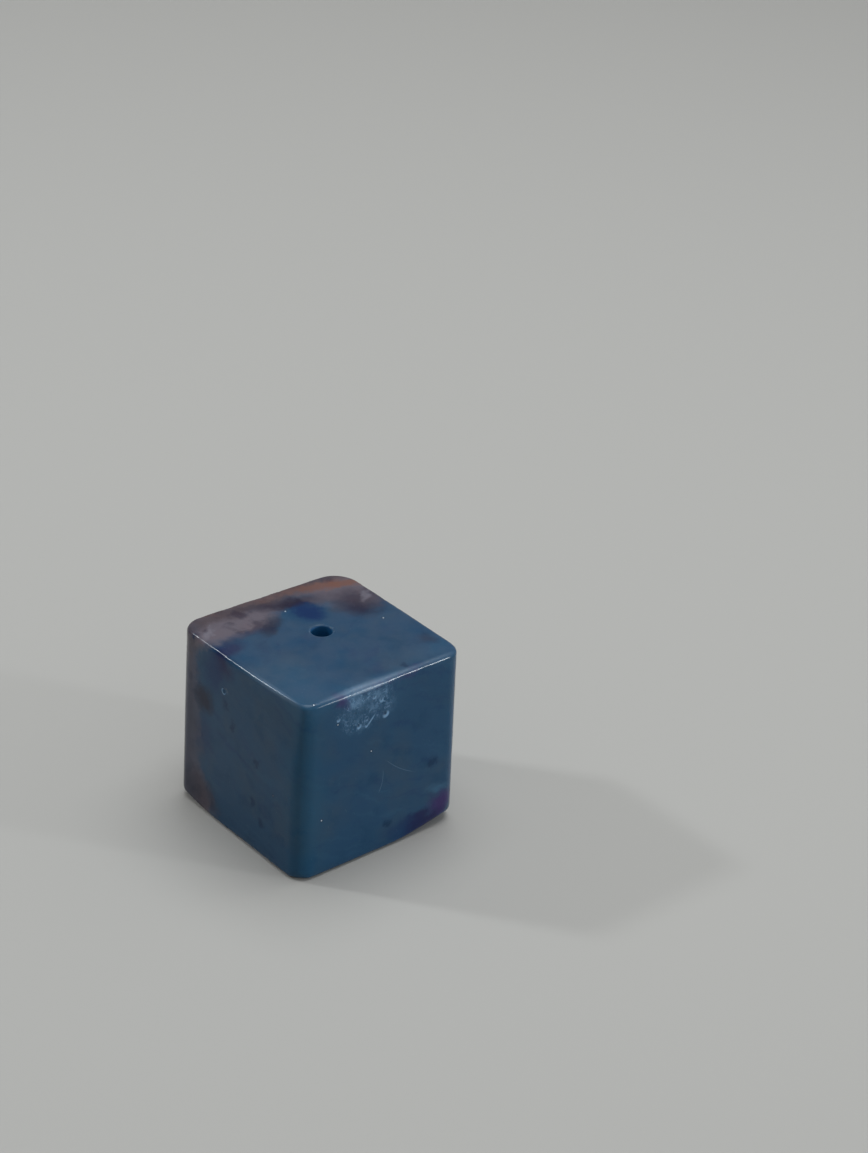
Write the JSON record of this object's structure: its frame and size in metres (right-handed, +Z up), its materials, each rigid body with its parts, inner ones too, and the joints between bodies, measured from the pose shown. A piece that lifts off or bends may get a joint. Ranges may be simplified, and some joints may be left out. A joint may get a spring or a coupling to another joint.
{
  "type": "drilled stone cube bead",
  "caption": "Polished stone cube bead with softened edges and a fine stringing hole drilled through it, top to bottom.",
  "frame": {"origin": "centre of the block on the face that it rests on", "axes": "+Z runs up the stringing hole, X along the 14.0 mm sides and Y along the 14.2 mm sides"},
  "size_m": [0.014, 0.0142, 0.0138],
  "materials": {
    "banded_stone": "hand polished, waxy gloss, dark blue with brown, mauve and violet zones"
  },
  "bodies": {
    "root": {"bead": "banded_stone"}
  },
  "joints": []
}
